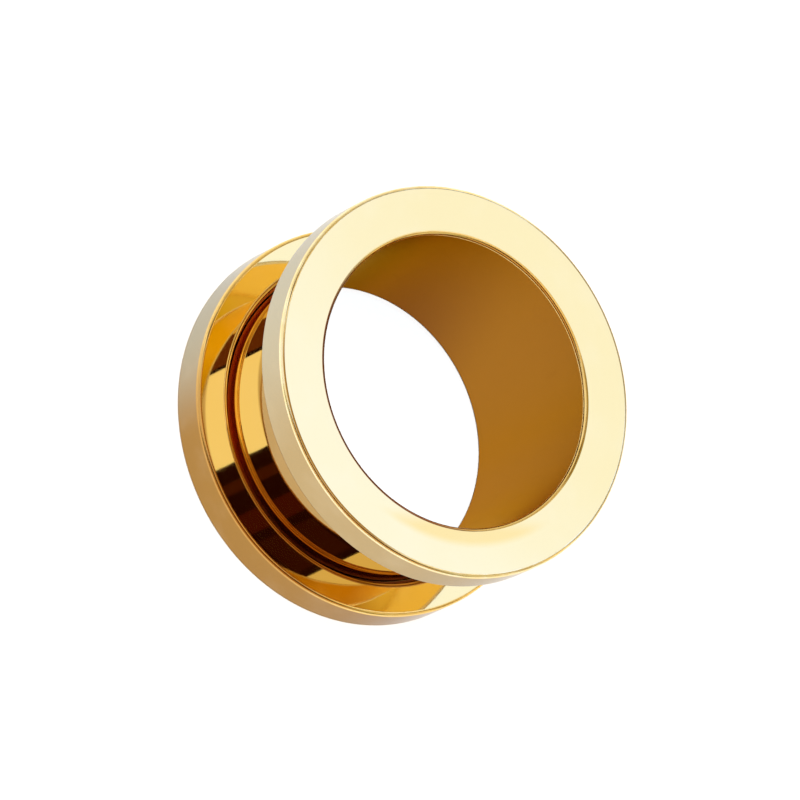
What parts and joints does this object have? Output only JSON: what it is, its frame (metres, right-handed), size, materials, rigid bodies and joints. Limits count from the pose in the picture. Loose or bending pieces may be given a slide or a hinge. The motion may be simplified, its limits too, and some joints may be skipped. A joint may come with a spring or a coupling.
{
  "type": "ear tunnel",
  "caption": "Screw-fit ear tunnel: an open barrel between wide flat polished flanges. The back flange is a ring that unscrews so that the barrel can pass through a stretched lobe.",
  "frame": {"origin": "centre of the back flange's flat outer face, on which the tunnel lies", "axes": "+Z along the tunnel's axis, from the back flange to the front flange; X and Y are any two directions across it, because the tunnel is round"},
  "size_m": [0.0198, 0.0198, 0.0101],
  "materials": {
    "gold_back": "gold-coated surgical steel, turned and mirror polished",
    "gold_front": "gold-coated surgical steel, flange and barrel mirror polished, bore left satin"
  },
  "bodies": {
    "back": {"screw_back": "gold_back"},
    "front": {"front_tube": "gold_front"}
  },
  "joints": [
    {"name": "unscrew", "type": "slide", "parent": "back", "child": "front", "axis": [0, 0, 1], "range_m": [0, 0.008]}
  ]
}
